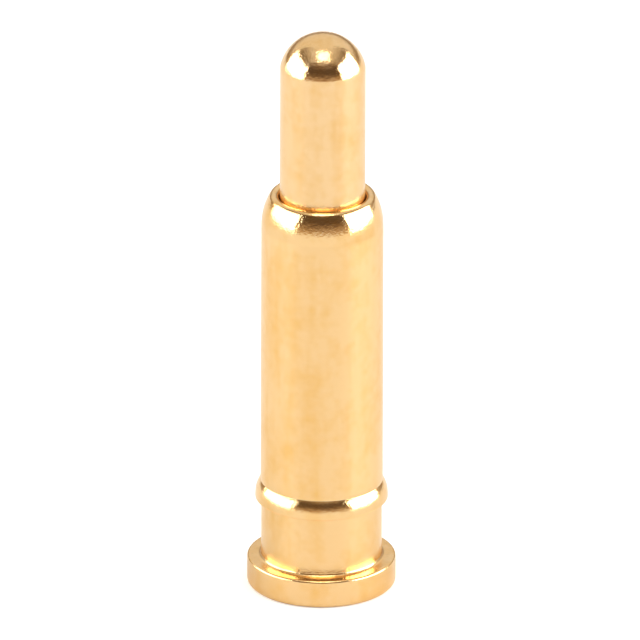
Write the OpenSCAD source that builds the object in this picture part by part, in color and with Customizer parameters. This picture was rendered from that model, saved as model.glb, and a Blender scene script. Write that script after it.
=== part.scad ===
// Spring-loaded contact pin (pogo pin) on a flanged solder foot.
// Sizes are in millimetres. The pin stands on its foot, with +Z along its
// axis and the origin at the centre of the foot's underside. It is shown
// relaxed, with the plunger fully out against the crimped rim.

/* [Barrel] */
// Outer diameter of the barrel above the retention ring
barrel_d = 1.5; // [1.35:0.05:1.75]
// Height of the straight wall's end, where the crimped shoulder starts
barrel_h = 4.745; // [4.5:0.05:6]
// Wall thickness of the drilled tube
wall = 0.14; // [0.1:0.01:0.18]
// Thickness of the solid floor under the bore
floor_t = 0.45; // [0.4:0.05:0.7]
// Diameter of the pilot drill that leaves its point in the floor
pilot_d = 0.6; // [0.4:0.05:0.8]
// Included angle of the pilot drill's point, in degrees
pilot_angle = 118; // [90:1:140]
// Width of the flat rim on top of the crimped shoulder
rim_w = 0.083; // [0.06:0.005:0.11]
// Edge rounding on the outside of the rim
rim_edge = 0.025; // [0.01:0.005:0.04]

/* [Foot] */
// Diameter of the solder foot
foot_d = 1.82; // [1.75:0.05:2.6]
// Thickness of the solder foot
foot_h = 0.36; // [0.25:0.01:0.5]
// Edge rounding at the foot's underside
foot_edge = 0.06; // [0.02:0.01:0.1]
// Edge rounding on top of the foot
foot_top_edge = 0.03; // [0.01:0.01:0.06]
// Diameter of the neck between the foot and the retention ring
neck_d = 1.48; // [1.4:0.02:1.5]
// Fillet radius where the neck meets the foot
root_fillet = 0.04; // [0.02:0.01:0.08]

/* [Retention ring] */
// Diameter of the retention ring
ring_d = 1.63; // [1.56:0.01:1.75]
// Height of the ring's square lower edge
ring_z = 1.13; // [0.7:0.05:1.8]
// Height of the ring's land above that edge
ring_land = 0.05; // [0.02:0.01:0.1]
// Lean of the land towards the barrel, in degrees
land_taper = 1.5; // [0.5:0.5:5]
// Radius of the barb's curve, which runs from the land in to the barrel
barb_r = 0.32; // [0.2:0.01:0.5]

/* [Plunger] */
// Diameter of the plunger's shank
plunger_d = 1.05; // [0.95:0.01:1.1]
// Height of the contact tip above the rim
protrusion = 2.118; // [1.9:0.05:3]
// Height of the tip's crease above the centre of its dome
dome_rise = 0.118; // [0:0.01:0.2]
// Radial clearance between the shank and the rim's hole
rim_clearance = 0.025; // [0.015:0.005:0.04]
// Clearance between the captive collar and the inside of the barrel
collar_clearance = 0.02; // [0.015:0.005:0.03]
// Slant of the bias-cut tail, in degrees
bias_angle = 14; // [5:1:20]

/* [Spring] */
// Travel of the plunger, from relaxed to fully pressed
stroke = 1.5; // [1:0.05:1.7]
// Wire diameter
wire_d = 0.12; // [0.1:0.005:0.13]
// Number of turns, closed ends included
coils = 12; // [9:1:13]
// Closed turns at each end
closed_coils = 1; // [1:0.25:1.5]
// Gap between the wires of a closed turn
closed_gap = 0.005; // [0.002:0.001:0.01]
// Radial clearance between the spring and the bore
spring_clearance = 0.05; // [0.03:0.01:0.08]
// Length that the spring still has to give when the plunger is fully pressed
spring_reserve = 0.05; // [0.02:0.01:0.1]
// Clearance at each end of the spring
seat_clearance = 0.01; // [0.005:0.005:0.02]

/* [Hidden] */

$fn = 120;
over = 0.2;                 // how far a cutting shape runs past what it cuts
GOLD = [0.97, 0.81, 0.55];
STEEL = [0.72, 0.73, 0.74];

barrel_r = barrel_d / 2;
bore_r = barrel_r - wall;
foot_r = foot_d / 2;
neck_r = neck_d / 2;
ring_r = ring_d / 2;
plunger_r = plunger_d / 2;
collar_r = bore_r - collar_clearance;

// Crimped shoulder: a sphere of the barrel's own radius, ended by a flat rim.
hole_r = plunger_r + rim_clearance;
rim_r = hole_r + rim_w;
rim_z = barrel_h + sqrt(pow(barrel_r, 2) - pow(rim_r, 2));

// Tip: a spherical cap slightly larger than the shank, so its edge is a crease.
tip_z = rim_z + protrusion;
dome_r = norm([plunger_r, dome_rise]);
dome_z = tip_z - dome_r;

// Spring: its free room is the travel, the solid stack and a small reserve.
wire_r = wire_d / 2;
coil_r = bore_r - spring_clearance - wire_r;
closed_pitch = wire_d + closed_gap;
closed_h = closed_coils * closed_pitch;
active_coils = coils - 2 * closed_coils;
solid_h = (active_coils + 1) * wire_d + 2 * closed_h;
spring_l = stroke + solid_h + spring_reserve;
active_pitch = (spring_l - wire_d - 2 * closed_h) / active_coils;
spring_z = floor_t + seat_clearance;
tail_z = spring_z + spring_l + seat_clearance;

WIRE_SIDES = 8;
STEPS_PER_COIL = 20;

// Rectangle of a half profile, between two radii and two heights.
module band(r0, r1, z0, z1) {
    translate([r0, z0]) square([r1 - r0, z1 - z0]);
}

// Part of a disc on the axis that lies above its centre: a spherical end.
module dome_profile(r, z, from = 0) {
    intersection() {
        translate([0, z]) circle(r);
        band(0, r, z + from, z + r);
    }
}

// What an edge rounding takes away: the sector about c from angle a0 to a1,
// less the circle of the rounding.
module edge_cut(c, r, a0, a1) {
    reach = 2 * r;
    mid = (a0 + a1) / 2;
    difference() {
        polygon([c,
                 c + reach * [cos(a0), sin(a0)],
                 c + reach * [cos(mid), sin(mid)] / cos((a1 - a0) / 2),
                 c + reach * [cos(a1), sin(a1)]]);
        translate(c) circle(r);
    }
}

// Half profile of the foot, with both of its edges rounded.
module foot_profile() {
    difference() {
        band(0, foot_r, 0, foot_h);
        edge_cut([foot_r - foot_edge, foot_edge], foot_edge, -90, 0);
        edge_cut([foot_r - foot_top_edge, foot_h - foot_top_edge], foot_top_edge, 0, 90);
    }
}

// Half profile of the neck, with the fillet at its root.
module neck_profile() {
    band(0, neck_r, 0, ring_z);
    difference() {
        band(neck_r, neck_r + root_fillet, foot_h, foot_h + root_fillet);
        translate([neck_r, foot_h] + [root_fillet, root_fillet]) circle(root_fillet);
    }
}

// Half profile of the retention ring: a sharp lower edge, a short land that
// leans in, and a curve that carries on from it to the barrel. The pin is
// pressed into a housing tip first, and the lower edge then holds it there.
module ring_profile() {
    land_top = [ring_r - ring_land * tan(land_taper), ring_z + ring_land];
    polygon([[0, ring_z], [ring_r, ring_z], land_top, [0, land_top.y]]);
    intersection() {
        translate(land_top - barb_r * [cos(land_taper), sin(land_taper)]) circle(barb_r);
        band(0, ring_r, land_top.y, land_top.y + barb_r);
    }
}

// Half profile of the crimped shoulder, with its rim's outer edge rounded.
module shoulder_profile() {
    edge_z = rim_z - barrel_h - rim_edge;
    edge_x = sqrt(pow(barrel_r - rim_edge, 2) - pow(edge_z, 2));
    difference() {
        intersection() {
            translate([0, barrel_h]) circle(barrel_r);
            band(0, barrel_r, barrel_h, rim_z);
        }
        edge_cut([edge_x, barrel_h + edge_z], rim_edge, atan2(edge_z, edge_x), 90);
    }
}

// Half profile of the hollow: the flat-bottomed bore with its pilot point,
// the inside of the crimp, and the rim's hole.
module bore_profile() {
    point_h = pilot_d / 2 / tan(pilot_angle / 2);
    polygon([[0, floor_t - point_h], [pilot_d / 2, floor_t], [0, floor_t]]);
    band(0, bore_r, floor_t, barrel_h);
    dome_profile(bore_r, barrel_h);
    band(0, hole_r, barrel_h, rim_z + over);
}

// Turned and drilled barrel, crimped over the plunger's collar.
module barrel() {
    color(GOLD)
    rotate_extrude()
    difference() {
        union() {
            foot_profile();
            neck_profile();
            ring_profile();
            band(0, barrel_r, ring_z, barrel_h);
            shoulder_profile();
        }
        bore_profile();
    }
}

// Half profile of the plunger: shank with a domed tip, and the captive
// collar, whose rounded shoulder nests under the crimp.
module plunger_profile() {
    band(0, plunger_r, tail_z, dome_z + dome_rise);
    dome_profile(dome_r, dome_z, dome_rise);
    band(0, collar_r, tail_z, barrel_h);
    dome_profile(collar_r, barrel_h);
}

// Turned plunger. The bias cut at its tail makes the spring press it
// sideways, so that it always touches the barrel.
module plunger() {
    color(GOLD)
    difference() {
        rotate_extrude() plunger_profile();
        translate([-collar_r, 0, tail_z])
            rotate([0, -bias_angle, 0])
                translate([-over, -barrel_r, -barrel_r])
                    cube([barrel_d * 2, barrel_d, barrel_r]);
    }
}

// Height of the wire's centre after a number of turns: the closed turns lie
// close together and the active ones share what is left.
function wire_z(turn) =
    let (lower = min(turn, closed_coils),
         active = max(0, min(turn - closed_coils, active_coils)),
         upper = max(0, turn - closed_coils - active_coils))
    spring_z + wire_r + (lower + upper) * closed_pitch + active * active_pitch;

// One point on the wire's surface, at a number of turns and a wire angle.
function wire_point(turn, side_angle) =
    let (r = coil_r + wire_r * cos(side_angle))
    [r * cos(360 * turn), r * sin(360 * turn), wire_z(turn) + wire_r * sin(side_angle)];

// Right-hand compression spring with closed ends.
module spring() {
    steps = round(coils * STEPS_PER_COIL);
    points = [for (i = [0 : steps], j = [0 : WIRE_SIDES - 1])
        wire_point(i * coils / steps, j * 360 / WIRE_SIDES)];
    quads = [for (i = [0 : steps - 1], j = [0 : WIRE_SIDES - 1])
        let (k = (j + 1) % WIRE_SIDES, a = i * WIRE_SIDES, b = a + WIRE_SIDES)
        [a + j, b + j, b + k, a + k]];
    sides = [for (q = quads) each [[q[0], q[1], q[2]], [q[0], q[2], q[3]]]];
    caps = [[for (j = [0 : WIRE_SIDES - 1]) j],
            [for (j = [WIRE_SIDES - 1 : -1 : 0]) steps * WIRE_SIDES + j]];
    color(STEEL) polyhedron(points = points, faces = concat(sides, caps));
}

barrel();
plunger();
spring();
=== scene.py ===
# %% [markdown]
# # A gold-plated pogo pin
#
# A pogo pin is a contact with a spring inside. A domed plunger slides in a thin
# barrel, a small coil spring pushes it out, and the barrel's crimped mouth keeps
# it in. This one stands on a round solder foot. Below the middle it has a ring
# with a sharp lower edge, which bites into the plastic housing of a connector.
#
# Almost everything that the eye sees here is one thing: polished gold. A metal
# has no matt colour under its shine, so the whole picture is made of reflections.
# Two things therefore matter most. The surfaces have to be truly round, because
# a reflection shows every facet. And the studio around the pin has to have light
# and dark places, because that is what the gold shows back.

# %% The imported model, and its box
import math

import bpy
import numpy as np
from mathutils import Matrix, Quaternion, Vector


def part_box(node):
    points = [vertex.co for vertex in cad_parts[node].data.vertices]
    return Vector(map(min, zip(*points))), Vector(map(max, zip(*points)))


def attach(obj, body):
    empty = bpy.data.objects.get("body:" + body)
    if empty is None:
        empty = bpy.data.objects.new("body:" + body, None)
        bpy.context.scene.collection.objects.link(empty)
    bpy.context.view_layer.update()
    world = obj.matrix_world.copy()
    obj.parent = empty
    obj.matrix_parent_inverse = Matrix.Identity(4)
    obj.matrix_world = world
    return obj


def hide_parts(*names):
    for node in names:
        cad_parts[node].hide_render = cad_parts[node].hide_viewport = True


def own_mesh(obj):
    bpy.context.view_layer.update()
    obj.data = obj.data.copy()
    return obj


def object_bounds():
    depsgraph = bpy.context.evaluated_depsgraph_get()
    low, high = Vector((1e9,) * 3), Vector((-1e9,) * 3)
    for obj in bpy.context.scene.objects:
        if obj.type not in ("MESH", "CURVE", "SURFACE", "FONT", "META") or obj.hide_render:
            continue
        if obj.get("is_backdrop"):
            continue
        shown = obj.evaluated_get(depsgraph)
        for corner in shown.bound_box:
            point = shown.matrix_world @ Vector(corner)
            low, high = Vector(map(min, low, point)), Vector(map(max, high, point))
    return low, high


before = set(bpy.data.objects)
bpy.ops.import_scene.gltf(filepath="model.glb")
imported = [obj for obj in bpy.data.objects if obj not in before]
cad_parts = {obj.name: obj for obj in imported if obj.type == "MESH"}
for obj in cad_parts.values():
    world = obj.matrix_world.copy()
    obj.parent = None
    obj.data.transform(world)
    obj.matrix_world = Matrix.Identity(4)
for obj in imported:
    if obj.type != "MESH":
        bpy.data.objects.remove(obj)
solid_box = [list(map(float, corner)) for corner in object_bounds()]
MM = 0.001
barrel_hi = np.array(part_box("barrel")[1]) / MM
plunger_lo, plunger_hi = (np.array(corner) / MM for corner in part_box("plunger"))
spring_lo, spring_hi = (np.array(corner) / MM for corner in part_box("spring"))

# %% [markdown]
# ## Working in millimetres
#
# The pin is seven millimetres tall, so its sizes are written in millimetres and
# turned to metres once, when a mesh is made. The heights of the foot, the rim,
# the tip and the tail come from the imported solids. The other sizes are the
# drawing's own, and both halves of the work share them.

# %% Sizes of the turned parts and the spring, in millimetres
foot_r, foot_h = barrel_hi[0], 0.36
neck_r, ring_r, barrel_r = 0.74, 0.815, 0.75
ring_z, ring_land, land_lean, barb_r = 1.13, 0.05, math.radians(1.5), 0.32
shoulder_z, rim_z = 4.745, barrel_hi[2]
bore_r, hole_r, mouth_r = 0.61, 0.55, 0.531
bore_floor_z, pilot_r, pilot_half_angle = 0.45, 0.3, math.radians(59)

shank_r, collar_r = 0.525, 0.59
tip_z, tail_z = plunger_hi[2], plunger_lo[2]
crease_rise, tail_slant = 0.118, math.radians(14)

wire_r, coil_r, turns, closed_turns, closed_pitch = 0.06, 0.50, 12, 1, 0.125
print("barrel", 2 * barrel_r, "mm, plunger", 2 * shank_r, "mm, wall", round(barrel_r - bore_r, 3), "mm")

# %% [markdown]
# ## Turned shapes
#
# A lathe makes every face of the barrel and the plunger by moving one tool along
# a path while the bar spins. The mesh is made the same way: a half profile in
# radius and height, built from straight runs and arcs, is carried round the axis.
# A modifier could do the spinning, but worked out as whole arrays it also gives
# each point two facts that the gold needs later: how far along the tool's path
# it lies, where the turning marks come from, and how much that face was burnished.

# %% Straight runs and arcs of a half profile
def straight(start, end, step=0.04):
    """Points from start to end, both included, no further apart than step, in mm."""
    start, end = np.array(start, float), np.array(end, float)
    count = max(1, math.ceil(np.linalg.norm(end - start) / step))
    return start + np.linspace(0, 1, count + 1)[:, None] * (end - start)


def arc(centre, radius, first, last, steps):
    """Points centre + radius * (cos a, sin a), for a from first to last in radians."""
    a = np.linspace(first, last, steps + 1)
    return np.array(centre) + radius * np.stack([np.cos(a), np.sin(a)], axis=1)


def joined(*stretches):
    """Stretches of (points, burnish) as one profile, with points met twice kept once.

    Gives the radii, the heights, the length along the path so far, and the burnish."""
    points = np.vstack([p for p, _ in stretches])
    burnish = np.concatenate([np.full(len(p), float(b)) for p, b in stretches])
    steps = np.linalg.norm(np.diff(points, axis=0), axis=1)
    keep = np.concatenate([[True], steps > 1e-6])
    along = np.concatenate([[0.0], np.cumsum(steps)])
    return points[keep, 0], points[keep, 1], along[keep], burnish[keep]


# %% A grid of points becomes a closed mesh
def lathe_mesh(name, radius, height, along, burnish):
    """Mesh from arrays of radius and height, one row a profile point, one column an angle.

    A point is (radius cos t, radius sin t, height), with t running once round. The first
    and last rows have no radius, so each becomes one point with a fan of triangles."""
    rows, columns = radius.shape
    t = np.arange(columns) * 2 * np.pi / columns
    grid = np.stack([radius * np.cos(t), radius * np.sin(t), height], axis=2) * MM
    inner = grid[1:-1].reshape(-1, 3)
    points = np.vstack([grid[:1, 0], inner, grid[-1:, 0]])

    this = np.arange(columns)
    following = (this + 1) % columns
    starts = 1 + np.arange(rows - 3)[:, None] * columns
    quads = np.stack([starts + this, starts + following,
                      starts + columns + following, starts + columns + this], axis=2)
    last_row, last_point = 1 + (rows - 3) * columns, len(points) - 1
    first_fan = np.stack([this * 0, 1 + following, 1 + this], axis=1)
    last_fan = np.stack([last_row + this, last_row + following, this * 0 + last_point], axis=1)

    mesh = bpy.data.meshes.new(name)
    mesh.from_pydata(points.tolist(), [],
                     quads.reshape(-1, 4).tolist() + first_fan.tolist() + last_fan.tolist())
    for label, values in (("along", along), ("burnish", burnish)):
        per_point = np.concatenate([values[:1], np.repeat(values[1:-1], columns), values[-1:]])
        mesh.attributes.new(label, "FLOAT", "POINT").data.foreach_set(
            "value", per_point.astype(np.float32))
    return mesh


def finished(name, mesh):
    """Object at the origin with smooth faces, and hard edges only where the shape turns a corner."""
    mesh.polygons.foreach_set("use_smooth", np.ones(len(mesh.polygons), bool))
    mesh.set_sharp_from_angle(angle=math.radians(28))
    piece = bpy.data.objects.new(name, mesh)
    bpy.context.scene.collection.objects.link(piece)
    mesh.calc_loop_triangles()
    print(name, len(mesh.vertices), "points,", len(mesh.loop_triangles), "triangles")
    return piece


# %% [markdown]
# ## The barrel
#
# The barrel is turned from brass bar, drilled from the top, and later crimped over
# the plunger. Its profile runs from the centre of the foot's underside, out and up
# along the outside, over the rim, and down the bore to the drill's point. The
# crimped shoulder is part of a ball as wide as the barrel, because a rolling tool
# pushes the wall inwards round its own end. That leaves a rounded lip close to the
# plunger. Every outer edge keeps a tiny rounding, as cut and plated metal does. It
# catches a thin line of light that a sharp edge would lose.

# %% Outside of the barrel, from the foot's centre up to the rim
foot_edge, foot_top_edge, root_fillet, fine_edge = 0.06, 0.03, 0.04, 0.012
land_set_in = 0.0004  # what the land's lean has taken off where the fine edge ends
quarter = math.pi / 2

foot_side = [
    (straight((0, 0), (foot_r - foot_edge, 0)), 0.2),
    (arc((foot_r - foot_edge, foot_edge), foot_edge, -quarter, 0, 12), 0.5),
    (straight((foot_r, foot_edge), (foot_r, foot_h - foot_top_edge)), 0.3),
    (arc((foot_r - foot_top_edge, foot_h - foot_top_edge), foot_top_edge, 0, quarter, 8), 0.5),
    (straight((foot_r - foot_top_edge, foot_h), (neck_r + root_fillet, foot_h)), 0.4),
    (arc((neck_r + root_fillet, foot_h + root_fillet), root_fillet, -quarter, -2 * quarter, 8), 0.4),
    (straight((neck_r, foot_h + root_fillet), (neck_r, ring_z)), 0.1),
]

land_top = np.array([ring_r - ring_land * math.tan(land_lean), ring_z + ring_land])
barb_centre = land_top - barb_r * np.array([math.cos(land_lean), math.sin(land_lean)])
barb_end = math.acos((barrel_r - barb_centre[0]) / barb_r)
ring_side = [
    (straight((neck_r, ring_z), (ring_r - fine_edge, ring_z)), 0.3),
    (arc((ring_r - fine_edge, ring_z + fine_edge), fine_edge, -quarter, 0, 5), 0.5),
    (straight((ring_r - land_set_in, ring_z + fine_edge), land_top, 0.02), 0.7),
    (arc(barb_centre, barb_r, land_lean, barb_end, 14), 0.8),
]

# The lip's circle touches the shoulder's ball from inside, the rim's height and the
# mouth, so its radius q solves q * q + b * q + c = 0.
rim_rise = rim_z - shoulder_z
b = 2 * (mouth_r - rim_rise + barrel_r)
c = mouth_r ** 2 + rim_rise ** 2 - barrel_r ** 2
lip_r = (-b + math.sqrt(b ** 2 - 4 * c)) / 2
lip_centre = (mouth_r + lip_r, rim_z - lip_r)
lip_start = math.atan2(lip_centre[1] - shoulder_z, lip_centre[0])
barb_top = float(ring_side[-1][0][-1][1])
shoulder_side = [
    (straight((barrel_r, barb_top), (barrel_r, shoulder_z), 0.05), 0.0),
    (arc((0, shoulder_z), barrel_r, 0, lip_start, 22), 1.0),
    (arc(lip_centre, lip_r, lip_start, 2 * quarter, 20), 1.0),
]
print("barb meets the wall at", round(barb_top, 3), "mm, lip radius", round(lip_r, 4), "mm")

# %% Inside of the barrel, from the rim's hole down to the drill's point
crimp_angle = math.acos(hole_r / bore_r)
crimp_z = shoulder_z + bore_r * math.sin(crimp_angle)
pilot_depth = pilot_r / math.tan(pilot_half_angle)
bore_side = [
    (straight((mouth_r, rim_z - lip_r), (hole_r, crimp_z)), 0.6),
    (arc((0, shoulder_z), bore_r, crimp_angle, 0, 10), 0.2),
    (straight((bore_r, shoulder_z), (bore_r, bore_floor_z), 0.15), 0.0),
    (straight((bore_r, bore_floor_z), (pilot_r, bore_floor_z), 0.1), 0.0),
    (straight((pilot_r, bore_floor_z), (0, bore_floor_z - pilot_depth), 0.1), 0.0),
]

SECTORS = 320
radii, heights, along, burnish = joined(*foot_side, *ring_side, *shoulder_side, *bore_side)
whole = np.ones((1, SECTORS))
barrel = finished("turned_barrel", lathe_mesh(
    "turned_barrel", radii[:, None] * whole, heights[:, None] * whole, along, burnish))

# %% [markdown]
# ## The plunger
#
# The plunger's tip is a polished dome, a little wider than a half ball on the
# shank would be, so a faint crease runs round where they meet. Hidden in the
# barrel it has a collar, which the crimp holds, and a tail cut at a slant. The
# slant makes the spring push the plunger to one side, so that it always touches
# the barrel. The same grid serves: the lowest rows are sheared up along +X, less
# and less towards the collar's shoulder, and that leaves the tail flat and tilted.

# %% Plunger, from the middle of its tail up to the tip
dome_r = math.hypot(shank_r, crease_rise)
dome_z = tip_z - dome_r
collar_meets = math.acos(shank_r / collar_r)
collar_top = shoulder_z + collar_r * math.sin(collar_meets)
crease_z, crease_angle = dome_z + crease_rise, math.atan2(crease_rise, shank_r)
soft_below, soft_above = 0.006, 0.012  # the crease's softening: mm of shank, radians of dome

radii, heights, along, burnish = joined(
    (straight((0, tail_z), (collar_r, tail_z), 0.1), 0.2),
    (straight((collar_r, tail_z), (collar_r, shoulder_z), 0.08), 0.2),
    (arc((0, shoulder_z), collar_r, 0, collar_meets, 8), 0.3),
    (straight((shank_r, collar_top), (shank_r, crease_z - soft_below)), 0.1),
    (arc((0, dome_z), dome_r, crease_angle + soft_above, quarter, 56), 1.0),
)
radii[-1] = 0.0

t = np.arange(SECTORS) * 2 * np.pi / SECTORS
shear = np.clip((shoulder_z - heights) / (shoulder_z - tail_z), 0, 1)[:, None]
rise = (collar_r + radii[:, None] * np.cos(t)) * math.tan(tail_slant)
plunger = finished("turned_plunger", lathe_mesh(
    "turned_plunger", radii[:, None] * whole, heights[:, None] + shear * rise, along, burnish))

# %% [markdown]
# ## The spring
#
# The spring is stainless wire wound on an arbor, with its last turn at each end
# closed up so that it stands square. The wire's centre line is a helix whose climb
# is slow in the closed turns and faster between them. At each step a circle is
# laid across the wire, square to the way it runs. The spring lies out of sight in
# the bore, but it is there for a cut-away view.

# %% Wire swept along the helix
def wire_height(turn, blend_turns=0.125):
    """Height of the wire's centre: the sum of a slope that is low in the closed turns, higher
    between them, and goes from one to the other over blend_turns."""
    fine = np.linspace(0, turns, 4001)
    inside = np.clip((fine - closed_turns) / blend_turns + 0.5, 0, 1) * np.clip(
        (turns - closed_turns - fine) / blend_turns + 0.5, 0, 1)
    climb = spring_hi[2] - spring_lo[2] - 2 * wire_r
    open_pitch = (climb - closed_pitch * turns) / (turns * inside.mean())
    slope = closed_pitch + open_pitch * inside
    path = np.concatenate([[0], np.cumsum((slope[1:] + slope[:-1]) / 2 * np.diff(fine))])
    return spring_lo[2] + wire_r + np.interp(turn, fine, path)


def spring_mesh(name, steps_a_turn=56, sides=16):
    """Circle of the wire's radius carried along the helix, on axes across its direction.

    Point = centre + wire_r * (cos b * outward + sin b * upward), where upward is square to
    both the outward direction and the wire. The cut ends are closed with flat fans."""
    turn = np.linspace(0, turns, turns * steps_a_turn + 1)
    a = 2 * np.pi * turn
    centre = np.stack([coil_r * np.cos(a), coil_r * np.sin(a), wire_height(turn)], axis=1)
    outward = np.stack([np.cos(a), np.sin(a), 0 * a], axis=1)
    direction = np.gradient(centre, axis=0)
    direction /= np.linalg.norm(direction, axis=1)[:, None]
    upward = np.cross(outward, direction)
    b = np.arange(sides) * 2 * np.pi / sides
    ring = centre[:, None] + wire_r * (np.cos(b)[None, :, None] * outward[:, None]
                                       + np.sin(b)[None, :, None] * upward[:, None])
    points = np.vstack([ring.reshape(-1, 3), centre[:1], centre[-1:]]) * MM
    this, rows = np.arange(sides), len(turn)
    following = (this + 1) % sides
    starts = np.arange(rows - 1)[:, None] * sides
    quads = np.stack([starts + this, starts + sides + this,
                      starts + sides + following, starts + following], axis=2)
    low, high = rows * sides, rows * sides + 1
    first_fan = np.stack([this, following, this * 0 + low], axis=1)
    last_fan = np.stack([starts[-1] + sides + following, starts[-1] + sides + this,
                         this * 0 + high], axis=1)
    mesh = bpy.data.meshes.new(name)
    mesh.from_pydata(points.tolist(), [],
                     quads.reshape(-1, 4).tolist() + first_fan.tolist() + last_fan.tolist())
    return mesh


spring = finished("wound_spring", spring_mesh("wound_spring"))

# %% [markdown]
# ## What stands for what
#
# Each fine piece takes the place of its plain solid and moves with that solid's body.
# The spring belongs to the barrel and can't follow the plunger as a rigid piece would.
# It gets a mesh of its own.

# %% Bodies, and the spring's own mesh
for piece, node, body, slot in ((barrel, "barrel", "barrel", "barrel_gold"),
                                (plunger, "plunger", "plunger", "plunger_gold"),
                                (spring, "spring", "barrel", "spring_steel")):
    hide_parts(node)
    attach(piece, body)
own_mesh(spring)

# %% [markdown]
# ## Helpers for colours and nodes
#
# Colours are written as the hex values that a screen shows and turned to the linear
# values that light is reckoned in by one function. One more function adds any node,
# with its settings and what its inputs are joined to.

# %% Hex to linear, and one node at a time
def linear(hex_colour):
    """sRGB hex to linear RGBA: c / 12.92 when dark, else ((c + 0.055) / 1.055) ** 2.4."""
    c = np.array([int(hex_colour[i:i + 2], 16) for i in (1, 3, 5)]) / 255
    return (*np.where(c <= 0.04045, c / 12.92, ((c + 0.055) / 1.055) ** 2.4).tolist(), 1.0)


def add(tree, kind, inputs=(), **settings):
    """New node in a tree. Each of inputs is (socket name or number, value or socket to link)."""
    node = tree.nodes.new(kind)
    for key, value in settings.items():
        setattr(node, key, value)
    for key, value in dict(inputs).items():
        if isinstance(value, bpy.types.NodeSocket):
            tree.links.new(value, node.inputs[key])
        else:
            node.inputs[key].default_value = value
    return node


def ramp(tree, value, stops, interpolation="LINEAR"):
    """Color Ramp on a value, with (position, hex colour) stops."""
    node = add(tree, "ShaderNodeValToRGB", {"Fac": value})
    node.color_ramp.interpolation = interpolation
    while len(node.color_ramp.elements) < len(stops):
        node.color_ramp.elements.new(0.5)
    for element, (position, colour) in zip(node.color_ramp.elements, stops):
        element.position, element.color = position, linear(colour)
    return node.outputs["Color"]


# %% [markdown]
# ## Hard gold over turned brass
#
# The pin is brass, plated with nickel and then with hard gold. The plating copies
# what is under it, so the marks of the lathe still show. They run round the pin,
# and fine grooves spread a reflection across themselves: up and down on the wall,
# but hardly sideways. That is what the anisotropy is for. The dome was polished
# and the shoulder was burnished by the crimping tool, so both come close to a
# mirror, and the burnish value of each point lowers the roughness there.
#
# Real turning marks are a few thousandths of a millimetre apart, which no picture
# of the whole pin shows. They are drawn as bands some hundredths wide, as the eye
# reads them under a lens. The colour drifts a little too, because plating is never
# equally thick: soft clouds, streaks that run along the pin, and small specks. A
# fine grain in the relief breaks up the edges of a reflection on polished faces.

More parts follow.
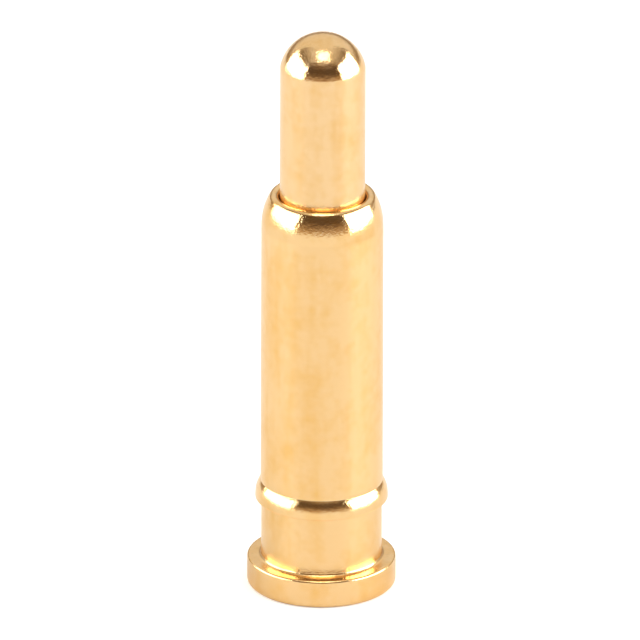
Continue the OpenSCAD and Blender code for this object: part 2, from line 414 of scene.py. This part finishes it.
# %% The gold, for both turned parts
def hard_gold(name, thin_hex, thick_hex, turned_roughness, polished_roughness, seed):
    """Hard gold plating: base colour drifts between two golds, roughness falls with burnish."""
    material = bpy.data.materials.new(name)
    material.use_nodes = True
    tree = material.node_tree
    tree.nodes.clear()
    place = add(tree, "ShaderNodeTexCoord").outputs["Object"]
    along_path = add(tree, "ShaderNodeAttribute", attribute_name="along").outputs["Fac"]
    burnished = add(tree, "ShaderNodeAttribute", attribute_name="burnish").outputs["Fac"]

    # plating clouds about 0.4 mm across, specks about 0.1 mm, and streaks 0.2 mm wide
    clouds = add(tree, "ShaderNodeTexNoise", {
        "Vector": place, "W": seed, "Scale": 2400.0, "Detail": 3.0, "Roughness": 0.55},
        noise_dimensions="4D").outputs["Fac"]
    specks = add(tree, "ShaderNodeTexNoise", {
        "Vector": place, "W": seed + 5.0, "Scale": 9000.0, "Detail": 2.0},
        noise_dimensions="4D").outputs["Fac"]
    drawn_out = add(tree, "ShaderNodeVectorMath", {0: place, 1: (1.0, 1.0, 0.12)},
                    operation="MULTIPLY").outputs[0]
    streaks = add(tree, "ShaderNodeTexNoise", {
        "Vector": drawn_out, "W": seed + 3.0, "Scale": 5200.0, "Detail": 2.0},
        noise_dimensions="4D").outputs["Fac"]
    drift = add(tree, "ShaderNodeMath", {0: clouds, 1: 0.4}, operation="MULTIPLY").outputs[0]
    drift = add(tree, "ShaderNodeMath", {0: streaks, 1: 0.35, 2: drift},
                operation="MULTIPLY_ADD").outputs[0]
    drift = add(tree, "ShaderNodeMath", {0: specks, 1: 0.25, 2: drift},
                operation="MULTIPLY_ADD").outputs[0]
    colour = ramp(tree, drift, [(0.37, thick_hex), (0.55, thin_hex)])

    # turning marks: bands about 0.03 mm wide along the tool's path
    marks = add(tree, "ShaderNodeTexNoise", {
        "W": along_path, "Scale": 34.0, "Detail": 3.0, "Roughness": 0.7},
        noise_dimensions="1D").outputs["Fac"]
    roughness = add(tree, "ShaderNodeMapRange", {
        "Value": burnished, "To Min": turned_roughness, "To Max": polished_roughness},
        ).outputs["Result"]
    uneven = add(tree, "ShaderNodeMapRange", {
        "Value": marks, "From Min": 0.3, "From Max": 0.7, "To Min": 0.94, "To Max": 1.06},
        ).outputs["Result"]
    roughness = add(tree, "ShaderNodeMath", {0: roughness, 1: uneven},
                    operation="MULTIPLY").outputs[0]

    # relief, with depths in metres: the marks, swells 0.3 mm across, and grain 0.04 mm across
    swells = add(tree, "ShaderNodeTexNoise", {
        "Vector": place, "W": seed + 9.0, "Scale": 3200.0, "Detail": 1.0},
        noise_dimensions="4D").outputs["Fac"]
    relief = add(tree, "ShaderNodeBump", {"Height": marks, "Strength": 1.0, "Distance": 3.0e-8})
    grain = add(tree, "ShaderNodeTexNoise", {
        "Vector": place, "W": seed + 11.0, "Scale": 26000.0, "Detail": 2.0, "Roughness": 0.6},
        noise_dimensions="4D").outputs["Fac"]
    relief = add(tree, "ShaderNodeBump", {
        "Height": swells, "Strength": 1.0, "Distance": 3.0e-6, "Normal": relief.outputs[0]})
    relief = add(tree, "ShaderNodeBump", {
        "Height": grain, "Strength": 1.0, "Distance": 3.2e-6, "Normal": relief.outputs[0]})

    # the direction round the pin, (-y, x, 0), which the marks follow
    parts = add(tree, "ShaderNodeSeparateXYZ", {0: place}).outputs
    minus_y = add(tree, "ShaderNodeMath", {0: parts[1], 1: -1000.0}, operation="MULTIPLY").outputs[0]
    plus_x = add(tree, "ShaderNodeMath", {0: parts[0], 1: 1000.0}, operation="MULTIPLY").outputs[0]
    round_it = add(tree, "ShaderNodeCombineXYZ", {0: minus_y, 1: plus_x, 2: 0.0}).outputs[0]

    gold = add(tree, "ShaderNodeBsdfPrincipled", {
        "Base Color": colour, "Metallic": 1.0, "Roughness": roughness,
        "Anisotropic": 0.6, "Anisotropic Rotation": 0.25, "Tangent": round_it,
        "Normal": relief.outputs[0]})
    add(tree, "ShaderNodeOutputMaterial", {"Surface": gold.outputs[0]})
    return material


barrel.data.materials.append(hard_gold(
    "hard gold on turned brass barrel", "#F9D49B", "#F4C67E", 0.25, 0.13, 1.0))
plunger.data.materials.append(hard_gold(
    "hard gold on polished brass plunger", "#F9D6A2", "#F3C888", 0.24, 0.12, 7.0))

# %% [markdown]
# ## Spring wire
#
# Spring wire is stainless steel drawn through a die. Drawing leaves a satin grey
# with fine unevenness, much less bright than the gold round it.

# %% Drawn stainless steel
def drawn_steel(name):
    """Drawn stainless wire: grey metal whose tone and satin roughness waver from place to place."""
    material = bpy.data.materials.new(name)
    material.use_nodes = True
    tree = material.node_tree
    tree.nodes.clear()
    place = add(tree, "ShaderNodeTexCoord").outputs["Object"]
    uneven = add(tree, "ShaderNodeTexNoise", {
        "Vector": place, "Scale": 22000.0, "Detail": 2.0}).outputs["Fac"]
    colour = ramp(tree, uneven, [(0.3, "#C9CACC"), (0.7, "#DCDDDE")])
    roughness = add(tree, "ShaderNodeMapRange", {
        "Value": uneven, "From Min": 0.3, "From Max": 0.7, "To Min": 0.26, "To Max": 0.38},
        ).outputs["Result"]
    relief = add(tree, "ShaderNodeBump", {"Height": uneven, "Strength": 1.0, "Distance": 1.0e-7})
    steel = add(tree, "ShaderNodeBsdfPrincipled", {
        "Base Color": colour, "Metallic": 1.0, "Roughness": roughness,
        "Normal": relief.outputs[0]})
    add(tree, "ShaderNodeOutputMaterial", {"Surface": steel.outputs[0]})
    return material


spring.data.materials.append(drawn_steel("drawn stainless spring wire"))

# %% [markdown]
# ## The room that the gold shows back
#
# A mirror-bright thing needs a room. This one is a product studio: a white table,
# a pale ceiling and back wall, and towards the camera the dark, warm side where
# nobody put a light. The wall of the pin looks down into the white table, which is
# why it is so pale. The dome and the shoulder look up into the dark side, which
# gives them their brown bands. The world holds these tones, by direction: a ramp by
# height for the dark side, one for the pale side, and one for the flanks above the
# lamps. A camera ray that misses everything sees plain white instead.

# %% World: tones by height, with a dark side towards the camera
world = bpy.data.worlds.new("studio room")
bpy.context.scene.world = world
world.use_nodes = True
tree = world.node_tree
tree.nodes.clear()
direction = add(tree, "ShaderNodeTexCoord").outputs["Generated"]
z = add(tree, "ShaderNodeSeparateXYZ", {0: direction}).outputs["Z"]
lowest, highest = -0.1, 1.0
height = add(tree, "ShaderNodeMapRange", {
    "Value": z, "From Min": lowest, "From Max": highest}).outputs[0]
level = add(tree, "ShaderNodeVectorMath", {0: direction, 1: (1.0, 1.0, 0.0)}, operation="MULTIPLY")
level = add(tree, "ShaderNodeVectorMath", {0: level.outputs[0]}, operation="NORMALIZE").outputs[0]
towards = add(tree, "ShaderNodeVectorMath", {0: level, 1: (0.0, -1.0, 0.0)},
              operation="DOT_PRODUCT").outputs["Value"]
front = add(tree, "ShaderNodeMapRange", {
    "Value": towards, "From Min": 0.42, "From Max": 0.72}, interpolation_type="SMOOTHSTEP").outputs[0]


def share(sine):
    """Place on the ramps of a height given as the sine of its elevation."""
    return (sine - lowest) / (highest - lowest)


dark_side = ramp(tree, height, [
    (share(-0.07), "#EBDCCB"), (share(0.03), "#D0BBA6"), (share(0.16), "#B49A80"),
    (share(0.28), "#7D6650"), (share(0.40), "#5C4B3B"), (share(0.62), "#635140"),
    (share(0.72), "#8C7866"), (share(0.84), "#E2D8CC"), (share(0.98), "#F2ECE4")])
pale_side = ramp(tree, height, [
    (share(-0.07), "#E6DACD"), (share(0.03), "#A8957F"), (share(0.16), "#9C8973"),
    (share(0.26), "#D0C4B7"), (share(0.38), "#EDE7DF"), (share(0.98), "#F2ECE4")])
sideways = add(tree, "ShaderNodeSeparateXYZ", {0: level}).outputs[0]
sideways = add(tree, "ShaderNodeMath", {0: sideways}, operation="ABSOLUTE").outputs[0]
beside = add(tree, "ShaderNodeMapRange", {
    "Value": sideways, "From Min": 0.72, "From Max": 0.92}, interpolation_type="SMOOTHSTEP").outputs[0]
flanks = ramp(tree, height, [
    (share(-0.07), "#E6DACD"), (share(0.60), "#8E7C69"), (share(0.70), "#857360"),
    (share(0.84), "#C2B5A6"), (share(0.95), "#E9E2DA")])
room = add(tree, "ShaderNodeMix", {0: front, 6: pale_side, 7: dark_side}, data_type="RGBA")
room = add(tree, "ShaderNodeMix", {0: beside, 6: room.outputs[2], 7: flanks}, data_type="RGBA")
room = add(tree, "ShaderNodeBackground", {"Color": room.outputs[2], "Strength": 1.0})
plain = add(tree, "ShaderNodeBackground", {"Color": (1, 1, 1, 1), "Strength": 1.0})
seen = add(tree, "ShaderNodeLightPath").outputs["Is Camera Ray"]
mixed = add(tree, "ShaderNodeMixShader", {0: seen, 1: room.outputs[0], 2: plain.outputs[0]})
add(tree, "ShaderNodeOutputWorld", {"Surface": mixed.outputs[0]})

# %% [markdown]
# ## The table
#
# The table is matt white paper. Lit by the lamps alone it would look light grey, so
# a little light of its own lifts it to white for the camera, and much less of it for
# metal or glass that mirrors it. The paper still takes the pin's shadow.

# %% Table with a lift to white
mesh = bpy.data.meshes.new("table")
table_half = 1.0  # metres
mesh.from_pydata([(-table_half, -table_half, 0), (table_half, -table_half, 0),
                  (table_half, table_half, 0), (-table_half, table_half, 0)], [], [(0, 1, 2, 3)])
table = bpy.data.objects.new("table", mesh)
bpy.context.scene.collection.objects.link(table)
table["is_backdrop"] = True

paper = bpy.data.materials.new("matt white paper")
paper.use_nodes = True
tree = paper.node_tree
tree.nodes.clear()
camera_lift, mirror_lift = 0.45, 0.03
path = add(tree, "ShaderNodeLightPath").outputs
to_camera = add(tree, "ShaderNodeMath", {0: path["Is Camera Ray"], 1: camera_lift},
                operation="MULTIPLY")
mirrored = add(tree, "ShaderNodeMath", {0: path["Is Glossy Ray"], 1: path["Is Transmission Ray"]},
               operation="MAXIMUM")
lift = add(tree, "ShaderNodeMath", {0: mirrored.outputs[0], 1: mirror_lift, 2: to_camera.outputs[0]},
           operation="MULTIPLY_ADD")
matt = add(tree, "ShaderNodeBsdfDiffuse", {"Color": linear("#DCDCDB")})
glow = add(tree, "ShaderNodeEmission", {"Color": linear("#FFFEFC"), "Strength": lift.outputs[0]})
both = add(tree, "ShaderNodeAddShader", {0: matt.outputs[0], 1: glow.outputs[0]})
add(tree, "ShaderNodeOutputMaterial", {"Surface": both.outputs[0]})
table.data.materials.append(paper)

# %% [markdown]
# ## The lamps
#
# Two big softboxes stand left and right of the pin, a very little in front of it. They
# draw the white shapes on both sides of the dome, the shoulder and the ring. A
# smaller box hangs above, towards the camera, and gives the small bright spot on
# top of the dome. Each is placed by the direction that it is seen in from the pin,
# and its size is an angle too. The power follows from how bright its face should be.

# %% Softboxes, by direction and angle
def softbox(name, side_degrees, up_degrees, wide_degrees, high_degrees, brightness, colour):
    """Area lamp facing the pin. Power = brightness * pi * area, for a face of that radiance."""
    distance = 0.5
    lamp = bpy.data.lights.new(name, "AREA")
    lamp.shape = "RECTANGLE"
    lamp.size = 2 * distance * math.tan(math.radians(wide_degrees / 2))
    lamp.size_y = 2 * distance * math.tan(math.radians(high_degrees / 2))
    lamp.energy = brightness * math.pi * lamp.size * lamp.size_y
    lamp.color = linear(colour)[:3]
    box = bpy.data.objects.new(name, lamp)
    a, e = math.radians(side_degrees), math.radians(up_degrees)
    aim = Vector((math.sin(a) * math.cos(e), -math.cos(a) * math.cos(e), math.sin(e)))
    box.location = aim * distance
    box.rotation_mode = "QUATERNION"
    box.rotation_quaternion = aim.to_track_quat("Z", "Y")
    bpy.context.scene.collection.objects.link(box)
    print(name, round(lamp.energy, 2), "W")


softbox("left softbox", -87, 17, 68, 44, 3.6, "#FFFFFF")
softbox("right softbox", 84, 17, 60, 44, 6.2, "#FFFFFF")
softbox("top lamp", 4, 74, 28, 26, 2.4, "#FFFDFA")

# %% [markdown]
# ## The camera
#
# A pin this small is shot from far off with a long lens, so its sides stay parallel.
# An orthographic camera does the same. It looks down by 23 degrees and leans a
# fraction of a degree, as the real pin did on its table.

# %% Camera
camera_data = bpy.data.cameras.new("long lens")
camera_data.type = "ORTHO"
camera_data.ortho_scale = 7.843 * MM
camera = bpy.data.objects.new("long lens", camera_data)
down = math.radians(23.1)
back = Vector((0.0, -math.cos(down), math.sin(down)))
aim_at = Vector((-0.026, 0.0, 3.462)) * MM
camera.location = aim_at + back * 30 * MM
camera_data.clip_start, camera_data.clip_end = 0.001, 10.0
camera.rotation_mode = "QUATERNION"
lean = math.radians(0.18)
camera.rotation_quaternion = back.to_track_quat("Z", "Y") @ Quaternion((0, 0, 1), lean)
bpy.context.scene.collection.objects.link(camera)
bpy.context.scene.camera = camera
bpy.context.scene.view_settings.view_transform = "Standard"

# %% [markdown]
# ## Last look at the sizes
#
# The fine pieces must fill the same box as the plain solids. Both boxes are printed,
# so that they can be compared.

# %% Boxes, and the end
dressed_box = [list(map(float, corner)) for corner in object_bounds()]
for label, (low, high) in (("solids", solid_box), ("dressed", dressed_box)):
    print(label, [round((top - bottom) / MM, 3) for bottom, top in zip(low, high)], "mm")
